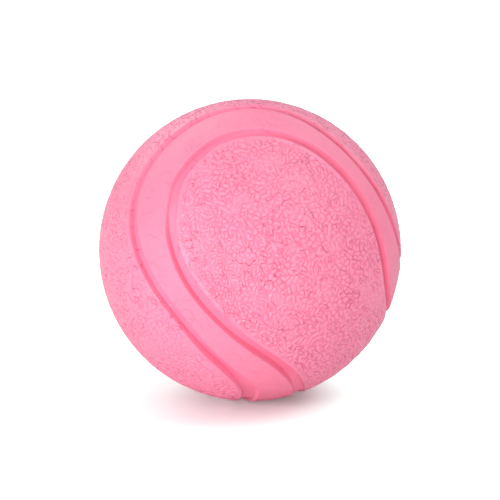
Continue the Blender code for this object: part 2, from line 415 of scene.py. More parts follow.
@dataclass(frozen=True)
class Grooves:
    """The grooves along both sides of the band.

    Attributes:
        stretches: where a groove is unlike the rest.
        wobble: how far the edges stray from their line.
        wobble_wave: length of those strays.
        arc_steps: steps round each rounded corner.
        wall_steps: steps down the wall.
    """

    stretches: tuple[Stretch, ...] = (
        Stretch(False, 0.00, 0.07, shift=-0.00045),
        Stretch(False, 0.28, 0.10, shift=0.00028, edge=0.5),
        Stretch(False, 0.68, 0.14, shift=-0.00045, depth=-0.15),
        Stretch(False, 1.22, 0.12, shift=0.00080, depth=-0.45),
        Stretch(False, 1.66, 0.14, shift=-0.00065, depth=0.25, edge=-0.5),
        Stretch(False, 5.86, 0.10, shift=-0.00045, widening=0.0010, depth=-0.25),
        Stretch(False, 5.60, 0.10, widening=0.0008, depth=-0.60),
        Stretch(False, 6.06, 0.10, depth=0.30),
        Stretch(True, 0.08, 0.10, shift=-0.00050),
        Stretch(True, 0.42, 0.10, shift=0.00100, depth=-0.40, edge=0.8),
        Stretch(True, 0.86, 0.08, shift=-0.00028),
        Stretch(True, 1.14, 0.10, shift=0.00045, depth=-0.15, edge=0.5),
        Stretch(True, 1.45, 0.10, shift=-0.00045),
        Stretch(True, 1.95, 0.12, shift=0.00090, depth=0.25),
        Stretch(True, 5.70, 0.08, shift=-0.00045, depth=-0.40),
        Stretch(True, 5.54, 0.09, depth=-0.55),
        Stretch(True, 5.98, 0.08, shift=0.00030, depth=0.20),
    )
    wobble: float = 0.00005
    wobble_wave: float = 0.0035
    arc_steps: int = 5
    wall_steps: int = 4

    def added(self, name: str, turn: Array, lower_side: bool) -> Array:
        """Sum what the stretches of one groove add to one of its sizes.

        Args:
            name: the size, which is a field of a stretch.
            turn: the seam's turn at each station.
            lower_side: whether it is the groove beside the lower panel.

        Returns:
            What is added at each station.
        """
        total = np.zeros_like(turn)
        for stretch in self.stretches:
            if stretch.lower_side == lower_side:
                total += getattr(stretch, name) * stretch.nearness(turn)
        return total

    def near_edge(self, seam: Seam, turn: Array, lower_side: bool) -> Array:
        """Angle from the seam's middle to the band's edge."""
        return seam.band_half(turn) + self.added("shift", turn, lower_side) / BALL_RADIUS

    def far_edge(self, seam: Seam, turn: Array, lower_side: bool) -> Array:
        """Angle from the seam's middle to the panel's edge."""
        width = GROOVE_WIDTH + self.added("widening", turn, lower_side)
        return self.near_edge(seam, turn, lower_side) + width / BALL_RADIUS

    def inset(self, seam: Seam, directions: Array, lower_side: bool, stations: int = 960) -> Array:
        """How far directions lie inside the rim of a panel, which is turned upright if it is the lower.

        The nearest station is the one with the greatest scalar product. The distance is the arc
        whose sine is the product with that station's side, less that to the panel's edge.

        Args:
            seam: the line that the panel follows.
            directions: places on a ball of radius 1, in the upper panel's own frame.
            lower_side: whether it is the lower panel.
            stations: how many stations are compared.

        Returns:
            Distances in metres, below 0 outside the panel.
        """
        turn = seam.even_turns(stations, 0.0)
        point, side = seam.points_and_sides(turn)
        nearest = np.argmax(directions @ point.T, axis=1)
        away = np.arcsin(np.clip(dot(directions, side[nearest]), -1.0, 1.0))
        edge = self.far_edge(seam, -turn if lower_side else turn, lower_side)
        return (away - edge[nearest]) * BALL_RADIUS

    def section(self, turn: Array, lower_side: bool) -> list[tuple[Array, Array]]:
        """A groove's wall at each turn, from its rounded top edge to the corner at the floor.

        The wall slopes by the angle whose tangent is the depth over the run. On the top edge the
        arc at an angle is the radius times its sine further on, less a setback of the radius
        times the tangent of half the slope, and the radius times one less its cosine deep. At
        the floor the same arc is turned half round.

        Args:
            turn: the seam's turn at each station.
            lower_side: whether it is the groove beside the lower panel.

        Returns:
            Pairs of reach into the groove and depth, each an array over the stations.
        """
        radius = EDGE_ROUND * (1 + self.added("edge", turn, lower_side))
        deep = GROOVE_DEPTH * (1 + self.added("depth", turn, lower_side))
        slope = np.arctan2(deep, WALL_RUN)
        steps = np.arange(self.arc_steps + 1) / self.arc_steps
        setback = radius * np.tan(slope / 2)
        edge = [
            (radius * np.sin(slope * step) - setback, radius * (1 - np.cos(slope * step)))
            for step in steps
        ]
        setback = FLOOR_ROUND * np.tan(slope / 2)
        foot = [
            (
                WALL_RUN + setback - FLOOR_ROUND * np.sin(slope * step),
                deep - FLOOR_ROUND * (1 - np.cos(slope * step)),
            )
            for step in steps[::-1]
        ]
        top, bottom = edge[-1], foot[0]
        wall = [
            (top[0] + (bottom[0] - top[0]) * share, top[1] + (bottom[1] - top[1]) * share)
            for share in np.arange(1, self.wall_steps) / self.wall_steps
        ]
        return edge + wall + foot

    def stray(self, directions: Array, seed: int) -> Array:
        """How far an edge strays to the side, along its line on a ball of radius 1."""
        return self.wobble * SoftNoise(seed, self.wobble_wave).at(directions * BALL_RADIUS)

    @staticmethod
    def relief(depth: Array) -> Array:
        """How open a place is, from 1 on top to 0 on the floor, by the cube of its depth."""
        # The materials paint shade by this mark: the lower a place, the more of their deep colour it takes.
        return 1 - np.minimum(depth / GROOVE_DEPTH, 1.0) ** 3


@dataclass(frozen=True)
class LeatherGround:
    """The ground of the moulded leather grain, which its cobbles stand on.

    Attributes:
        strength: the grain's height on this panel, as a share of the full one.
        depth: how far the full grain's ground lies below the smooth rim.
        swell: height of its own soft swells.
        swell_wave: size of those swells.
        plain_rim: width of the rim that stays smooth.
        rim_fade: width over which the rim falls to the ground.
        patch_wave: size of the patches where the grain is fainter.
        patch_least: share of the grain's height in the middle of such a patch.
        patch_fade: how fast the grain gains its full height beside a patch.
        patch_rarity: how rare the patches are.
    """

    strength: float = 1.0
    depth: float = 0.00021
    swell: float = 0.00003
    swell_wave: float = 0.0016
    plain_rim: float = 0.0003
    rim_fade: float = 0.0006
    patch_wave: float = 0.0045
    patch_least: float = 0.60
    patch_fade: float = 2.0
    patch_rarity: float = 0.9

    def share(self, places: Array, inset: Array) -> Array:
        """Work out how much of its full depth the grain has.

        It is the panel's strength times the patches' share, which follows a soft noise, and it
        fades in from the smooth rim.

        Args:
            places: places on the ball.
            inset: their distances inside the rim.

        Returns:
            The share at each place.
        """
        noise = SoftNoise(Seed.GRAIN_PATCHES, self.patch_wave).at(places)
        full = smooth_step(noise * self.patch_fade + self.patch_rarity)
        patch = self.patch_least + (1 - self.patch_least) * full
        return self.strength * patch * smooth_step((inset - self.plain_rim) / self.rim_fade)

    def height(self, places: Array, inset: Array) -> Array:
        """Work out how high the ground is against the ball's radius.

        It is a soft noise times the swells' height, less that height and the depth, all of it
        times the grain's share.

        Args:
            places: places on the ball.
            inset: their distances inside the rim.

        Returns:
            The height at each place, 0 or less.
        """
        swells = SoftNoise(Seed.GROUND_SWELLS, self.swell_wave).at(places)
        level = self.swell * np.clip(swells, -1.0, 1.0) - self.swell - self.depth
        return level * self.share(places, inset)


@dataclass(frozen=True)
class GrainCobbles:
    """The cobbles of the grain: worms and pebbles side by side, with thin creases between them.

    Seeds lie on a spiral from pole to pole, each a golden angle further on than the last, and
    are then shifted at random. More seeds come in between where the grain is finer. A cobble
    reaches from its seed halfway to each seed around it, less half a crease. Distances count
    less along a soft flow over the ball and more across it, which draws the cobbles out. Their
    corners are rounded: one over the reach, to the power of the squareness, is the sum of one
    over the reach to each halfway line, to the same power. No cobble stands out beyond the
    ball's radius, so high ones have flat tops.

    Attributes:
        spacing: mean distance between seeds.
        scatter: shift of the seeds, as a share of the spacing.
        crease: width of the gap between cobbles, below 0 where they overlap and meet in a V.
        around: how many seeds around a seed bound its cobble.
        widest: greatest reach, as a share of the spacing, on a side where no seed bounds a cobble.
        points: points round a cobble.
        squareness: the power that rounds the corners, the higher the sharper.
        slimness: how many times longer than wide the roundest and the slimmest cobbles are.
        slim_wave: size of the areas with slimmer or rounder cobbles.
        slim_noise: how far single cobbles stray from their area's slimness.
        flow_wave: size of the flow's swirls.
        flow_noise: how far the cobbles stray from the flow.
        heights: lowest and highest cobble, as shares of the ground's depth.
        profile: shares of a cobble's reach and of its height, from its foot to its middle.
        sink: how far its foot is sunk in the ground.
        fine_middle: way from the ball's centre to the middle of the finer grain.
        fine_reach: angle from there to where the finer grain ends, the outer half of which fades.
        seed: seed of the draw.
    """

    spacing: float = 0.00107
    scatter: float = 0.42
    crease: float = -0.00003
    around: int = 14
    widest: float = 4.0
    points: int = 9
    squareness: float = 8.0
    slimness: tuple[float, float] = (1.1, 2.8)
    slim_wave: float = 0.006
    slim_noise: float = 0.2
    flow_wave: float = 0.0040
    flow_noise: float = 0.45
    heights: tuple[float, float] = (0.62, 1.15)
    profile: tuple[tuple[float, float], ...] = ((1.0, 0.0), (0.84, 0.52), (0.52, 0.90), (0.0, 1.0))
    sink: float = 0.00003
    fine_middle: tuple[float, float, float] = (-0.30, -0.95, 0.02)
    fine_reach: float = 0.42
    seed: int = Seed.COBBLES

    def spiral(self, draw: np.random.Generator) -> Array:
        """Spread seeds all over the ball.

        Args:
            draw: what the random shifts come from.

        Returns:
            Their directions.
        """
        count = round(4 * math.pi * (BALL_RADIUS / self.spacing) ** 2)
        step = np.arange(count)
        height = 1 - (2 * step + 1) / count
        angle = step * math.pi * (3 - math.sqrt(5))
        level = np.sqrt(1 - height**2)
        places = np.stack([level * np.cos(angle), level * np.sin(angle), height], axis=1)
        shift = draw.normal(size=places.shape) * self.scatter * self.spacing / BALL_RADIUS
        return unit(places + shift)

    def seeds(self, draw: np.random.Generator, upside_down: bool, attitude: Attitude) -> Array:
        """Spread seeds as a panel has them, with those that make the grain finer.

        A seed of a second spiral is kept by a chance that rises with its nearness to the middle
        of the finer grain.

        Args:
            draw: what the random numbers come from.
            upside_down: whether it is the panel round the ball's south pole.
            attitude: the way the ball lies.

        Returns:
            Their directions, in the upper panel's own frame.
        """
        more = self.spiral(draw)
        closeness = dot(self.laid(more, upside_down, attitude), unit(np.array(self.fine_middle)))
        apart = np.arccos(np.clip(closeness, -1.0, 1.0))
        kept = draw.uniform(size=len(more)) < smooth_step((1 - apart / self.fine_reach) * 2)
        return np.concatenate([self.spiral(draw), more[kept]])

    def nearest(self, seeds: Array) -> Array:
        """Find the seeds around each seed, which have the greatest scalar products with it.

        Args:
            seeds: directions of the seeds.

        Returns:
            Their numbers, an array of seeds by those around each.
        """
        closeness = (seeds @ seeds.T).astype(np.float32)
        np.fill_diagonal(closeness, -1.0)
        return np.argpartition(-closeness, self.around, axis=1)[:, : self.around]

    def outlines(self, seed: Array, spare: Array, draw: np.random.Generator) -> Array:
        """Ways from the seeds to the points round their cobbles, on a ball of radius 1.

        Args:
            seed: directions of the seeds.
            spare: how far the cobbles may reach, by the distance to the smooth rim.
            draw: what the random numbers come from.

        Returns:
            The ways, an array of seeds by points by 3.
        """
        home = seed * BALL_RADIUS
        swirl = [SoftNoise(Seed.FLOW + axis, self.flow_wave).at(home) for axis in range(3)]
        stray = self.flow_noise * draw.normal(size=seed.shape)
        way = unit(np.cross(seed, np.stack(swirl, axis=1) + stray))
        side = np.cross(seed, way)
        slim = SoftNoise(Seed.SLIMNESS, self.slim_wave).at(home)
        slim = slim + draw.normal(size=len(seed)) * self.slim_noise
        low, high = self.slimness
        stretch = np.sqrt(low + (high - low) * np.clip(slim + 0.5, 0.0, 1.0))[:, None]
        offset = (seed[self.nearest(seed)] - seed[:, None]) * BALL_RADIUS
        along = dot(offset, way[:, None]) / stretch
        across = dot(offset, side[:, None]) * stretch
        square = along**2 + across**2
        line = (square - np.sqrt(square) * self.crease) / 2
        angle = np.arange(self.points) * FULL_TURN / self.points
        facing = along[..., None] * np.cos(angle) + across[..., None] * np.sin(angle)
        closeness = (np.maximum(facing, 0.0) / line[..., None]) ** self.squareness
        least = (self.widest * self.spacing) ** -self.squareness
        reach = np.maximum(closeness.sum(axis=1), least) ** (-1 / self.squareness)
        first = reach * np.cos(angle) * stretch
        second = reach * np.sin(angle) / stretch
        fits = np.minimum(1.0, spare[:, None] / np.hypot(first, second))
        first = (first * fits / BALL_RADIUS)[..., None]
        second = (second * fits / BALL_RADIUS)[..., None]
        return first * way[:, None] + second * side[:, None]

    def surfaces(
        self, seam: Seam, grooves: Grooves, ground: LeatherGround, upside_down: bool, attitude: Attitude
    ) -> list[RingSurface]:
        """Work out the cobbles of one panel where they lie.

        Each ring of a cobble lies at the profile's share of the way out to its outline. Its
        height is the ground's, which slopes evenly from the middle to the edge, plus the
        profile's share of the cobble's own height.

        Args:
            seam: the line that the panel follows.
            grooves: the grooves that give the panel its edge.
            ground: what the cobbles stand on.
            upside_down: whether it is the panel round the ball's south pole.
            attitude: the way the ball lies.

        Returns:
            Two surfaces, one for each lobe of the panel.
        """
        draw = np.random.default_rng(self.seed + int(upside_down))
        seed = self.seeds(draw, upside_down, attitude)
        inset = grooves.inset(seam, seed, upside_down)
        kept = inset > ground.plain_rim + abs(self.crease)
        seed, inset = seed[kept], inset[kept]
        outline = self.outlines(seed, inset - ground.plain_rim, draw)
        edge = unit(seed[:, None] + outline).reshape(-1, 3)
        edge_inset = grooves.inset(seam, edge, upside_down)
        edge_base = ground.height(self.laid(edge, upside_down, attitude) * BALL_RADIUS, edge_inset)
        places = self.laid(seed, upside_down, attitude) * BALL_RADIUS
        share = ground.share(places, inset)
        base = ground.height(places, inset)[:, None, None]
        slope = edge_base.reshape(len(seed), 1, self.points) - base
        reach, raised = np.array([(0.0, -1.0), *self.profile]).T[..., None]
        grown = (draw.uniform(*self.heights, len(seed)) * ground.depth * share)[:, None, None]
        height = base + slope * reach + grown * np.maximum(raised, 0.0) - self.sink * (1 - raised)
        direction = unit(seed[:, None, None] + outline[:, None] * reach[..., None])
        direction = self.laid(direction, upside_down, attitude)
        rings = direction * (BALL_RADIUS + np.minimum(height, 0.0))[..., None]
        # The relief mark, 1 on a cobble's crest, falls towards its foot; the finish paints shade by it into
        # the creases between cobbles, more where the grain is full.
        tops = 1 - (1 - np.maximum(raised, 0.0)) ** 2 * share[:, None, None] * np.ones(self.points)
        lobe = seed @ TIP_WAY > 0
        return [RingSurface(rings[at], Ends.POINTS, {"relief": tops[at]}) for at in (lobe, ~lobe)]

    @staticmethod
    def laid(directions: Array, upside_down: bool, attitude: Attitude) -> Array:
        """Turn directions from the upper panel's own frame to where the panel lies.

        Args:
            directions: the directions.
            upside_down: whether it is the panel round the ball's south pole.
            attitude: the way the ball lies.

        Returns:
            The directions where the panel lies.
        """
        if upside_down:
            directions = directions * np.array([1.0, -1.0, -1.0])
        return attitude.lay(directions)


@dataclass(frozen=True)
class Value:
    """A number in a material, which Python's operators add Math nodes to.

    Attributes:
        graph: the material's graph.
        socket: the output that gives the number.
    """

    graph: "Graph"
    socket: bpy.types.NodeSocket

    def _with(self, operation: str, *numbers: Any) -> "Value":
        """The result of a Math operation on some numbers."""
        return self.graph.math(operation, *numbers)

    def __add__(self, other: Any) -> "Value":
        """This number plus another."""
        return self._with("ADD", self, other)

    def __radd__(self, other: Any) -> "Value":
        """Another number plus this one."""
        return self._with("ADD", other, self)

    def __sub__(self, other: Any) -> "Value":
        """This number less another."""
        return self._with("SUBTRACT", self, other)

    def __rsub__(self, other: Any) -> "Value":
        """Another number less this one."""
        return self._with("SUBTRACT", other, self)

    def __mul__(self, other: Any) -> "Value":
        """This number times another."""
        return self._with("MULTIPLY", self, other)

    def __rmul__(self, other: Any) -> "Value":
        """Another number times this one."""
        return self._with("MULTIPLY", other, self)

    def __truediv__(self, other: Any) -> "Value":
        """This number divided by another."""
        return self._with("DIVIDE", self, other)

    def __rtruediv__(self, other: Any) -> "Value":
        """Another number divided by this one."""
        return self._with("DIVIDE", other, self)


class Graph:
    """The node tree of a material or of the world, with one method that adds any node."""

    def __init__(self, tree: bpy.types.NodeTree) -> None:
        """Start from an empty tree."""
        self.tree = tree
        self.tree.nodes.clear()

    def node(
        self,
        kind: str,
        settings: Mapping[str, Any] | None = None,
        sockets: Mapping[str | int, Any] | None = None,
    ) -> bpy.types.Node:
        """Add a node.

        Args:
            kind: the node's type, without the words that all shader nodes start with.
            settings: the node's own settings, which are set first.
            sockets: numbers, colours or links for the inputs, by name or number.

        Returns:
            The node.
        """
        node = self.tree.nodes.new("ShaderNode" + kind)
        for name, setting in (settings or {}).items():
            setattr(node, name, setting)
        for name, given in (sockets or {}).items():
            if isinstance(given, Value):
                given = given.socket
            if isinstance(given, bpy.types.NodeSocket):
                self.tree.links.new(given, node.inputs[name])
            else:
                node.inputs[name].default_value = given
        return node

    def math(self, operation: str, *numbers: Any) -> Value:
        """The result of a Math node."""
        node = self.node("Math", {"operation": operation}, dict(enumerate(numbers)))
        return Value(self, node.outputs[0])

    def clamped(self, number: Value) -> Value:
        """A number kept from 0 to 1."""
        node = self.node("Clamp", None, {"Value": number})
        return Value(self, node.outputs[0])

    def places(self) -> bpy.types.NodeSocket:
        """Places on the piece in metres, which are those of the whole ball."""
        return self.node("TexCoord").outputs["Object"]

    def mark(self, name: str) -> Value:
        """A number that the piece's points carry."""
        node = self.node("Attribute", {"attribute_name": name})
        return Value(self, node.outputs["Fac"])

    def noise(
        self, wave: float, detail: float = 2.0, roughness: float = 0.5, lean: float = 0.0, draw: float = 1.0
    ) -> Value:
        """Noise from 0 to 1.

        Args:
            wave: length of its waves in metres.
            detail: how many finer waves it has.
            roughness: how strong those are.
            lean: angle of its long waves, seen from the front, from level down to the right.
            draw: how many times longer its waves are that way.

        Returns:
            The noise.
        """
        places = self.node("Mapping", {"vector_type": "TEXTURE"}, {
            "Vector": self.places(),
            "Rotation": (0.0, lean, 0.0),
            "Scale": (draw, 1.0, 1.0),
        }).outputs["Vector"]
        sockets = {"Vector": places, "Scale": 1 / wave, "Detail": detail, "Roughness": roughness}
        return Value(self, self.node("TexNoise", None, sockets).outputs["Fac"])

    def lines(self, noise: Value, width: float) -> Value:
        """Lines where a noise is a half, 1 in their middle, fading to 0 over a width of its values."""
        return self.clamped(1.0 - self.math("ABSOLUTE", noise - 0.5) / width)

    def mixed(self, share: Value, first: Colour, second: Colour) -> bpy.types.NodeSocket:
        """A colour between two, by a share from 0, the first, to 1, the second."""
        sockets = {0: share, 6: (*first, 1.0), 7: (*second, 1.0)}
        return self.node("Mix", {"data_type": "RGBA"}, sockets).outputs[2]

    def bump(self, height: Value, rise: float) -> bpy.types.NodeSocket:
        """Normals of a surface raised by a height times a rise in metres."""
        node = self.node("Bump", None, {"Height": height, "Distance": rise, "Strength": 1.0})
        return node.outputs["Normal"]


@dataclass(frozen=True)
class RubberFinish:
    """A pink moulded rubber, a little uneven in tone and gloss, with a fine skin, and with shade that can
    be painted into its low places and creases.

    Attributes:
        name: the material's name.
        pale: colour where the rubber is palest.
        deep: colour of the darker patches, and the colour painted as shade in its creases and low places.
        roughness: how matt the skin is.
        index: how strongly the skin mirrors, as an index of refraction.
        patch_wave: size of the uneven patches.
        patch_start: value of the patches' noise above which they are darker.
        patch_tint: how much of the deep colour they take, for each 1 above that.
        patch_left: share of that which is kept where the relief mark paints shade too.
        patch_gloss: how much rougher the patches are, for each 1 of their noise.
        skin_wave: size of the fine skin's bumps.
        skin_rise: their height.
        skin_gloss: how much rougher the bumps are, for each 1 of their noise.
        crease_wave: size of the loops that the fine creases follow.
        crease_width: half a crease's width, as a share of the noise that they follow, or 0.
        crease_start: value of the patches' noise above which the fine creases show.
        crease_fade: how fast both kinds of crease fade in, for each 1 of that noise.
        crease_painted_shade: how much of the deep colour both take, as painted shade.
        crease_sink: how deep both are, against the skin's bumps.
        scratch_wave: distance between the long straight creases.
        scratch_lean: their angle from level, seen from the front, down to the right.
        scratch_draw: how many times longer than wide their loops are.
        scratch_width: their width, as a share of the fine creases'.
        scratch_end: value of the patches' noise below which they show.
        painted_shade: how much of the deep colour the lowest places take as painted shade, by the pieces'
            own relief mark.
    """

    name: str
    pale: Colour
    deep: Colour
    roughness: float
    index: float = 1.46
    patch_wave: float = 0.009
    patch_start: float = 0.35
    patch_tint: float = 0.8
    patch_left: float = 0.3
    patch_gloss: float = 0.10
    skin_wave: float = 0.00036
    skin_rise: float = 0.00005
    skin_gloss: float = 0.12
    crease_wave: float = 0.0026
    crease_width: float = 0.0
    crease_start: float = 0.47
    crease_fade: float = 8.0
    crease_painted_shade: float = 0.6
    crease_sink: float = 1.5
    scratch_wave: float = 0.0022
    scratch_lean: float = math.radians(42.0)
    scratch_draw: float = 4.0
    scratch_width: float = 0.8
    scratch_end: float = 0.50
    painted_shade: float = 0.0

    def creases(self, graph: Graph, patches: Value) -> Value:
        """Draw the fine creases, and the long straight ones where there are no fine ones.

        Args:
            graph: the material's graph.
            patches: the noise of the uneven patches.

        Returns:
            1 in the middle of a crease, falling to 0 beside it.
        """
        loops = graph.noise(self.crease_wave, detail=1.0, roughness=0.4)
        fine = graph.lines(loops, self.crease_width)
        fine = fine * graph.clamped((patches - self.crease_start) * self.crease_fade)
        drawn = graph.noise(
            self.scratch_wave, detail=1.5, lean=self.scratch_lean, draw=self.scratch_draw
        )
        straight = graph.lines(drawn, self.crease_width * self.scratch_width)
        straight = straight * graph.clamped((self.scratch_end - patches) * self.crease_fade)
        return graph.clamped(fine + straight)

    def make(self) -> bpy.types.Material:
        """Build the material.

        Returns:
            The material, whose colour, roughness and normals vary over a piece.
        """
        material = bpy.data.materials.new(self.name)
        material.use_nodes = True
        material.diffuse_color = (*self.pale, 1.0)
        graph = Graph(material.node_tree)
        patches = graph.noise(self.patch_wave, detail=3.0, roughness=0.55)
        skin = graph.noise(self.skin_wave, detail=3.0, roughness=0.6)
        depth = graph.clamped((patches - self.patch_start) * self.patch_tint)
        height = skin
        # Painted shade: the lower a place by its relief mark, the more of the deep colour it takes.
        if self.painted_shade:
            low = 1.0 - graph.mark("relief")
            depth = graph.clamped(depth * self.patch_left + low * self.painted_shade)
        # The creases are sunk by the bump, and painted darker with the deep colour as shade in them.
        if self.crease_width:
            crease = self.creases(graph, patches)
            depth = graph.clamped(depth + crease * self.crease_painted_shade)
            height = skin - crease * self.crease_sink
        uneven = (skin - 0.5) * self.skin_gloss + (patches - 0.5) * self.patch_gloss
        shader = graph.node("BsdfPrincipled", None, {
            "Base Color": graph.mixed(depth, self.pale, self.deep),
            "Roughness": graph.clamped(self.roughness + uneven),
            "Normal": graph.bump(height, self.skin_rise),
            "IOR": self.index,
        })
        graph.node("OutputMaterial", None, {"Surface": shader.outputs[0]})
        return material


def place_piece(name: str, surface: RingSurface, material: bpy.types.Material, node: str) -> None:
    """Put a finished piece in the scene, in the place of a CAD node.

    Args:
        name: the piece's name.
        surface: its shape, where it lies.
        material: its finish.
        node: the CAD node that it stands for.
    """
    piece = bpy.data.objects.new(name, surface.mesh(name))
    bpy.context.scene.collection.objects.link(piece)
    piece.data.materials.append(material)
    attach(piece, BODY)
    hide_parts(node)
    LOG.info("%s: %d faces, stands for %s", name, len(piece.data.polygons), node)


@dataclass(frozen=True)
class CoverPanel:
    """A cover panel: two lobes joined by a waist, grained outside, with a smooth rim.

    Rings run from a spine over the panel's waist out to the rim, down the wall and back under
    the panel to the spine of its lining. Each rib of the rings is an arc of a great circle.

    Attributes:
        name: the piece's name.
        node: the CAD node that it stands for.
        upside_down: whether it is the panel round the ball's south pole.
        ground: the ground of its grain.
        stations: points on each ring.
        top_rings: rings on the grained top.
        under_rings: rings on the lining.
        spine_reach: an angle that the spine never reaches, from the waist.
        rim_shade_mark: the relief mark on the rim's edge and down its wall, which paints shade there.
        rim_shade: width over which that mark rises to 1, inwards from the edge.
    """

    name: str
    node: str
    upside_down: bool
    ground: LeatherGround
    stations: int = 1120
    top_rings: int = 60
    under_rings: int = 3
    spine_reach: float = math.radians(110.0)
    rim_shade_mark: float = 0.7
    rim_shade: float = 0.0008

    def spine(self, rim: Array) -> Array:
        """Find the point on the spine that each rib starts from.

        The spine is an arc over the waist. A rim point at an angle along it has a rib that
        starts at the reach times the hyperbolic tangent of that angle over the reach.

        Args:
            rim: directions of the points on the rim.

        Returns:
            Directions of the points on the spine.
        """
        foot = np.arctan2(rim @ TIP_WAY, rim[:, 2])
        angle = self.spine_reach * np.tanh(foot / self.spine_reach)
        return np.sin(angle)[:, None] * TIP_WAY + np.cos(angle)[:, None] * np.array([0.0, 0.0, 1.0])

    @staticmethod
    def ribs(start: Array, end: Array, share: float) -> Array:
        """Directions a share of the way along the great circles from one set to another."""
        span = np.arccos(np.clip(dot(start, end), -1.0, 1.0))[:, None]
        return (np.sin((1 - share) * span) * start + np.sin(share * span) * end) / np.sin(span)

    def surface(self, seam: Seam, attitude: Attitude, grooves: Grooves) -> RingSurface:
        """Work out the panel's shape where it lies.

        Args:
            seam: the line that the panel follows.
            attitude: the way the ball lies.
            grooves: the section of the groove along it.

        Returns:
            The surface, marked with its relief.
        """
        turn = seam.even_turns(self.stations, TIP_TURN)
        band_turn = -turn if self.upside_down else turn
        corner = grooves.far_edge(seam, band_turn, self.upside_down)
        stray = grooves.stray(seam.beside(turn, corner), Seed.PANEL_EDGE + int(self.upside_down))
        wall = grooves.section(band_turn, self.upside_down)
        rim = seam.beside(turn, corner + (stray - wall[0][0]) / BALL_RADIUS)
        start = self.spine(rim)
        shares = np.arange(self.top_rings + 1) / self.top_rings
        rows = [self.ribs(start, rim, share) for share in shares]
        depths = [np.zeros(self.stations)] * len(rows)
        for reach, depth in wall[1:-grooves.arc_steps]:
            raised = 1 - depth / GROOVE_DEPTH
            rows.append(seam.beside(turn, corner + (stray * raised - reach) / BALL_RADIUS))
            depths.append(depth)
        foot = seam.beside(turn, corner - WALL_RUN / BALL_RADIUS)
        rows.append(foot)
        depths.append(wall[-1][1])
        for ring in range(self.under_rings, -1, -1):
            rows.append(self.ribs(start, foot, ring / self.under_rings))
            depths.append(np.full(self.stations, COVER_THICKNESS))
        directions = GrainCobbles.laid(np.stack(rows), self.upside_down, attitude)
        radii = BALL_RADIUS - np.stack(depths)
        # Relief mark for painted shade: darker down the groove's wall, and scaled by the mark on the rim's
        # edge.
        tops = self.rim_shade_mark * grooves.relief(np.stack(depths))
        top = len(shares)
        places = (directions[:top] * BALL_RADIUS).reshape(-1, 3)
        inset = (1 - shares)[:, None] * (np.arccos(np.clip(dot(start, rim), -1.0, 1.0)) * BALL_RADIUS)
        radii[:top] += self.ground.height(places, inset.ravel()).reshape(top, -1)
        grain = self.ground.share(places, inset.ravel()).reshape(top, -1)
        # On the grained top the mark paints shade at the rim's edge and on the ground between the cobbles,
        # the deeper the grain the darker.
        shade = self.rim_shade_mark + (1 - self.rim_shade_mark) * smooth_step(inset / self.rim_shade)
        tops[:top] = shade * (1 - grain)
        return RingSurface((directions * radii[..., None])[None], Ends.FOLDS, {"relief": tops[None]})


@dataclass(frozen=True)
class WindingBand:
    """The smooth band and the floors of the grooves beside it.

    Attributes:
        name: the piece's name.
        node: the CAD node that it stands for.
        stations: points along each ring.
        top_steps: steps across half of its top.
        hollow: mean depth of its top's soft hollows, which leave a thin raised rim.
        hollow_wave: size of those hollows.
    """

    name: str
    node: str
    stations: int = 1248
    top_steps: int = 16
    hollow: float = 0.00006
    hollow_wave: float = 0.0034

    def hollows(self, seam: Seam, turn: Array, angle: Array) -> Array:
        """Work out how deep the hollows are at places on the band's top.

        The depth is the mean depth times one plus a soft noise.

        Args:
            seam: the line that the band follows.
            turn: the seam's turn at each place.
            angle: the place's angle from the line.

        Returns:
            The depth at each place.
        """
        places = seam.beside(turn, angle) * BALL_RADIUS
        swells = np.clip(SoftNoise(Seed.BAND_HOLLOWS, self.hollow_wave).at(places), -1.0, 1.0)
        return self.hollow * (1 + swells)

    def half_section(
        self, seam: Seam, grooves: Grooves, turn: Array, side: int
    ) -> list[tuple[Array, Array]]:
        """Half the band's section at each station, from beside its middle to under its ledge.

        Args:
            seam: the line that the band follows.
            grooves: the section of the grooves.
            turn: the seam's turn at each station.
            side: 1 for the half beside the upper panel, -1 for the lower.

        Returns:
            Pairs of angle from the line and depth, each an array over the stations.
        """
        half = grooves.near_edge(seam, turn, side < 0)
        far = grooves.far_edge(seam, turn, side < 0)
        wall = grooves.section(turn, side < 0)
        stray = grooves.stray(seam.beside(turn, side * half), Seed.BAND_EDGE + side)
        edge = half + (wall[0][0] + stray) / BALL_RADIUS
        section = [
            (angle, self.hollows(seam, turn, side * angle))
            for angle in (edge * step / self.top_steps for step in range(1, self.top_steps))
        ]
        for reach, depth in wall:
            raised = 1 - depth / GROOVE_DEPTH
            section.append((half + (reach + stray * raised) / BALL_RADIUS, depth))
        for reach, depth in reversed(wall[-grooves.arc_steps - 1:]):
            section.append((far - reach / BALL_RADIUS, depth))
        ledge_end = far - WALL_RUN / BALL_RADIUS
        under = np.full_like(turn, COVER_THICKNESS)
        return section + [(ledge_end, under), (ledge_end / 2, under)]

    def surface(self, seam: Seam, attitude: Attitude, grooves: Grooves) -> RingSurface:
        """Work out the band's shape where it lies.

        Its section is carried along the seam's line, each point at its angle from the line.

        Args:
            seam: the line that the band follows.
            attitude: the way the ball lies.
            grooves: the section of the grooves.

        Returns:
            The surface, marked with its relief.
        """
        turn = seam.even_turns(self.stations, TIP_TURN)
        middle = np.zeros_like(turn)
        near = self.half_section(seam, grooves, turn, 1)
        far = [(-angle, depth) for angle, depth in self.half_section(seam, grooves, turn, -1)[::-1]]
        under = (middle, np.full_like(turn, COVER_THICKNESS))
        section = [(middle, self.hollows(seam, turn, middle)), *near, under, *far]
        rows = [seam.beside(turn, angle) * (BALL_RADIUS - depth)[:, None] for angle, depth in section]
        # The relief mark paints shade down the grooves' walls and over their floors.
        tops = grooves.relief(np.stack([depth for _, depth in section]))
        return RingSurface(attitude.lay(np.stack(rows))[None], Ends.JOINED, {"relief": tops[None]})


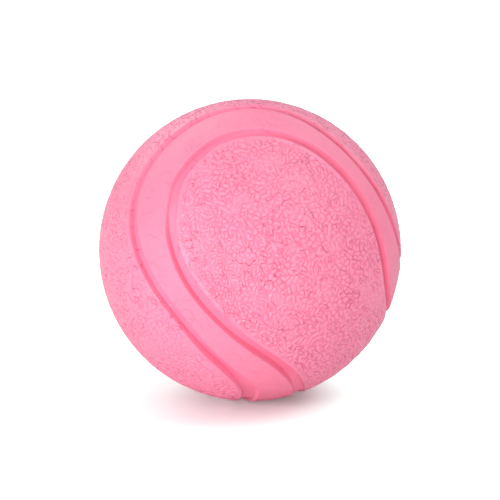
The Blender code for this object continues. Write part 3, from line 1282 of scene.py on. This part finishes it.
@dataclass(frozen=True)
class CoreHalf:
    """Half of the hollow core, turned about the ball's own axis.

    Attributes:
        name: the piece's name.
        node: the CAD node that it stands for.
        side: 1 for the upper half, which has the tongue, and -1 for the lower, with the channel.
        sectors: points on each ring.
        outer_steps: steps from pole to rim outside.
        inner_steps: steps from pole to rim inside.
    """

    name: str
    node: str
    side: int
    sectors: int = 240
    outer_steps: int = 48
    inner_steps: int = 40

    @staticmethod
    def quarter(radius: float, steps: int) -> list[tuple[float, float]]:
        """Work out an arc from the pole down to the rim.

        Args:
            radius: the arc's radius.
            steps: how many steps it has.

        Returns:
            Pairs of distance from the axis and height, the radius times the sine and the cosine.
        """
        last = math.acos(GLUE_GAP / 2 / radius)
        return [
            (radius * math.sin(last * step / steps), radius * math.cos(last * step / steps))
            for step in range(steps + 1)
        ]

    def surface(self, attitude: Attitude) -> RingSurface:
        """Work out the half's shape where it lies.

        A profile is carried round the ball's own axis by the cosine and the sine of an angle.

        Args:
            attitude: the way the ball lies.

        Returns:
            The surface: an outer arc, the rim with its tongue or channel, and an inner arc.
        """
        middle = (CORE_RADIUS + HOLLOW_RADIUS) / 2
        play = 0.0 if self.side > 0 else GLUE_GAP
        reach = TONGUE_WIDTH / 2 + play
        face = GLUE_GAP / 2
        tip = face - TONGUE_HEIGHT if self.side > 0 else TONGUE_HEIGHT - face + GLUE_GAP
        rim = [(middle + reach, face), (middle + reach, tip), (middle - reach, tip), (middle - reach, face)]
        outside = self.quarter(CORE_RADIUS, self.outer_steps)
        inside = self.quarter(HOLLOW_RADIUS, self.inner_steps)
        profile = outside + rim + inside[::-1]
        radius, height = np.array(profile).T
        angle = np.arange(self.sectors) * FULL_TURN / self.sectors
        rings = np.stack([
            radius[:, None] * np.cos(angle),
            radius[:, None] * np.sin(angle),
            np.repeat(self.side * height[:, None], self.sectors, axis=1),
        ], axis=-1)
        return RingSurface(attitude.lay(rings)[None], Ends.POINTS)


@dataclass(frozen=True)
class Ball:
    """The whole ball, which builds its pieces and dresses them."""

    seam: Seam = Seam()
    attitude: Attitude = Attitude()
    grooves: Grooves = Grooves()
    cobbles: GrainCobbles = GrainCobbles()

    def build(self) -> None:
        """Build the two panels, the band and the two halves of the core."""
        # The grained and smooth finishes paint their deep colour as shade in low places and creases; in all
        # three it is also the tone of the darker patches.
        grained = RubberFinish(
            "grained_rubber", pale=(0.985, 0.298, 0.450), deep=(0.88, 0.11, 0.28), roughness=0.21,
            skin_rise=0.00009, crease_width=0.014, painted_shade=0.34,
        ).make()
        smooth = RubberFinish(
            "smooth_rubber", pale=(0.975, 0.262, 0.405), deep=(0.97, 0.12, 0.30), roughness=0.52,
            skin_rise=0.00004, crease_width=0.009, painted_shade=0.22,
        ).make()
        core = RubberFinish(
            "core_rubber", pale=(0.62, 0.20, 0.30), deep=(0.50, 0.15, 0.24), roughness=0.65,
        ).make()
        for panel in (
            CoverPanel("upper_cover_panel", "upper_panel", False, LeatherGround(strength=0.65)),
            CoverPanel("lower_cover_panel", "lower_panel", True, LeatherGround()),
        ):
            surface = panel.surface(self.seam, self.attitude, self.grooves)
            place_piece(panel.name, surface, grained, panel.node)
            lobes = self.cobbles.surfaces(
                self.seam, self.grooves, panel.ground, panel.upside_down, self.attitude
            )
            for which, surface in zip(("first", "second"), lobes):
                name = f"{panel.name}_grain_of_{which}_lobe"
                place_piece(name, surface, grained, panel.node)
        band = WindingBand("winding_band", "seam_band")
        surface = band.surface(self.seam, self.attitude, self.grooves)
        place_piece(band.name, surface, smooth, band.node)
        for half in (
            CoreHalf("upper_core_shell", "upper_core_half", 1),
            CoreHalf("lower_core_shell", "lower_core_half", -1),
        ):
            place_piece(half.name, half.surface(self.attitude), core, half.node)


@dataclass(frozen=True)
class Lamp:
    """A soft square lamp that faces the ball.

    Attributes:
        name: the lamp's name.
        azimuth_degrees: where it stands, 0 before the ball, 90 to its right.
        elevation_degrees: how high it stands.
        power: its power in watts.
        width: the side of its square.
        distance: how far off it stands.
    """

    name: str
    azimuth_degrees: float
    elevation_degrees: float
    power: float
    width: float = 0.5
    distance: float = 0.8

    def hang(self) -> None:
        """Put the lamp in the scene."""
        across = math.radians(self.azimuth_degrees)
        up = math.radians(self.elevation_degrees)
        way = Vector((math.sin(across) * math.cos(up), -math.cos(across) * math.cos(up), math.sin(up)))
        light = bpy.data.lights.new(self.name, "AREA")
        light.shape = "SQUARE"
        light.size = self.width
        light.energy = self.power
        lamp = bpy.data.objects.new(self.name, light)
        lamp.location = way * self.distance
        lamp.rotation_mode = "QUATERNION"
        lamp.rotation_quaternion = (-way).to_track_quat("-Z", "Y")
        bpy.context.scene.collection.objects.link(lamp)


@dataclass(frozen=True)
class Studio:
    """The pale floor, the white surroundings, the lamps and the camera.

    Attributes:
        floor_side: side of the square floor.
        floor_tone: the floor's grey.
        floor_lift: the floor's tone as the camera sees it, over 1 so that only its shadow shows.
        sky: strength of the even light from all round.
        lamps: the soft lamps.
        elevation_degrees: the camera's height above the horizon.
        distance: from the camera to the ball's centre.
        lens: focal length in millimetres.
        sensor: width of the camera's sensor in millimetres.
    """

    floor_side: float = 1.2
    floor_tone: float = 0.84
    floor_lift: Colour = (1.28, 1.78, 1.64)
    sky: float = 0.40
    lamps: tuple[Lamp, ...] = (
        Lamp("key_lamp", -50.0, 9.0, 2.85, 0.3),
        Lamp("front_lamp", -8.0, 6.0, 2.2, 0.25),
        Lamp("right_lamp", 70.0, 55.0, 2.35),
        Lamp("left_back_lamp", -150.0, 35.0, 1.6),
        Lamp("right_back_lamp", 150.0, 35.0, 1.0),
    )
    elevation_degrees: float = 14.0
    distance: float = 0.57824
    lens: float = 196.53
    sensor: float = 36.0

    def lay_floor(self) -> None:
        """Lay the floor under the ball. The camera sees it lifted to white, but not its shadow."""
        half = self.floor_side / 2
        mesh = bpy.data.meshes.new("floor")
        corners = [(-half, -half), (half, -half), (half, half), (-half, half)]
        mesh.from_pydata([(x, y, -BALL_RADIUS) for x, y in corners], [], [(0, 1, 2, 3)])
        floor = bpy.data.objects.new("floor", mesh)
        bpy.context.scene.collection.objects.link(floor)
        material = bpy.data.materials.new("pale_floor")
        material.use_nodes = True
        graph = Graph(material.node_tree)
        tone = self.floor_tone
        matt = graph.node("BsdfDiffuse", None, {"Color": (tone, tone, tone, 1.0)})
        lifted = graph.node("BsdfDiffuse", None, {"Color": (*self.floor_lift, 1.0)})
        ray = graph.node("LightPath")
        seen = graph.node("MixShader", None, {
            "Fac": ray.outputs["Is Camera Ray"], 1: matt.outputs[0], 2: lifted.outputs[0],
        })
        graph.node("OutputMaterial", None, {"Surface": seen.outputs[0]})
        mesh.materials.append(material)

    def light_surroundings(self) -> None:
        """Light the scene evenly from all round. The camera sees plain white there."""
        world = bpy.data.worlds.new("white_room")
        bpy.context.scene.world = world
        world.use_nodes = True
        graph = Graph(world.node_tree)
        ray = graph.node("LightPath")
        seen = Value(graph, ray.outputs["Is Camera Ray"])
        strength = seen * (1.0 - self.sky) + self.sky
        white = graph.node("Background", None, {"Color": (1.0, 1.0, 1.0, 1.0), "Strength": strength})
        graph.node("OutputWorld", None, {"Surface": white.outputs[0]})

    def set_camera(self) -> None:
        """Set the camera before the ball, at the photograph's height."""
        up = math.radians(self.elevation_degrees)
        back = Vector((0.0, -math.cos(up), math.sin(up)))
        lens = bpy.data.cameras.new("camera")
        lens.sensor_width = self.sensor
        lens.lens = self.lens
        camera = bpy.data.objects.new("camera", lens)
        camera.location = back * self.distance
        camera.rotation_mode = "QUATERNION"
        camera.rotation_quaternion = (-back).to_track_quat("-Z", "Y")
        bpy.context.scene.collection.objects.link(camera)
        bpy.context.scene.camera = camera

    def build(self) -> None:
        """Set up the whole studio."""
        bpy.context.scene.view_settings.view_transform = "Standard"
        self.set_camera()
        self.light_surroundings()
        self.lay_floor()
        for lamp in self.lamps:
            lamp.hang()
        LOG.info("studio: %d lamps", len(self.lamps))


def main() -> None:
    """Build the studio and the ball, in order."""
    logging.basicConfig(level=logging.INFO, format="%(name)s: %(message)s")
    Studio().build()
    Ball().build()


if __name__ == "__main__":
    main()
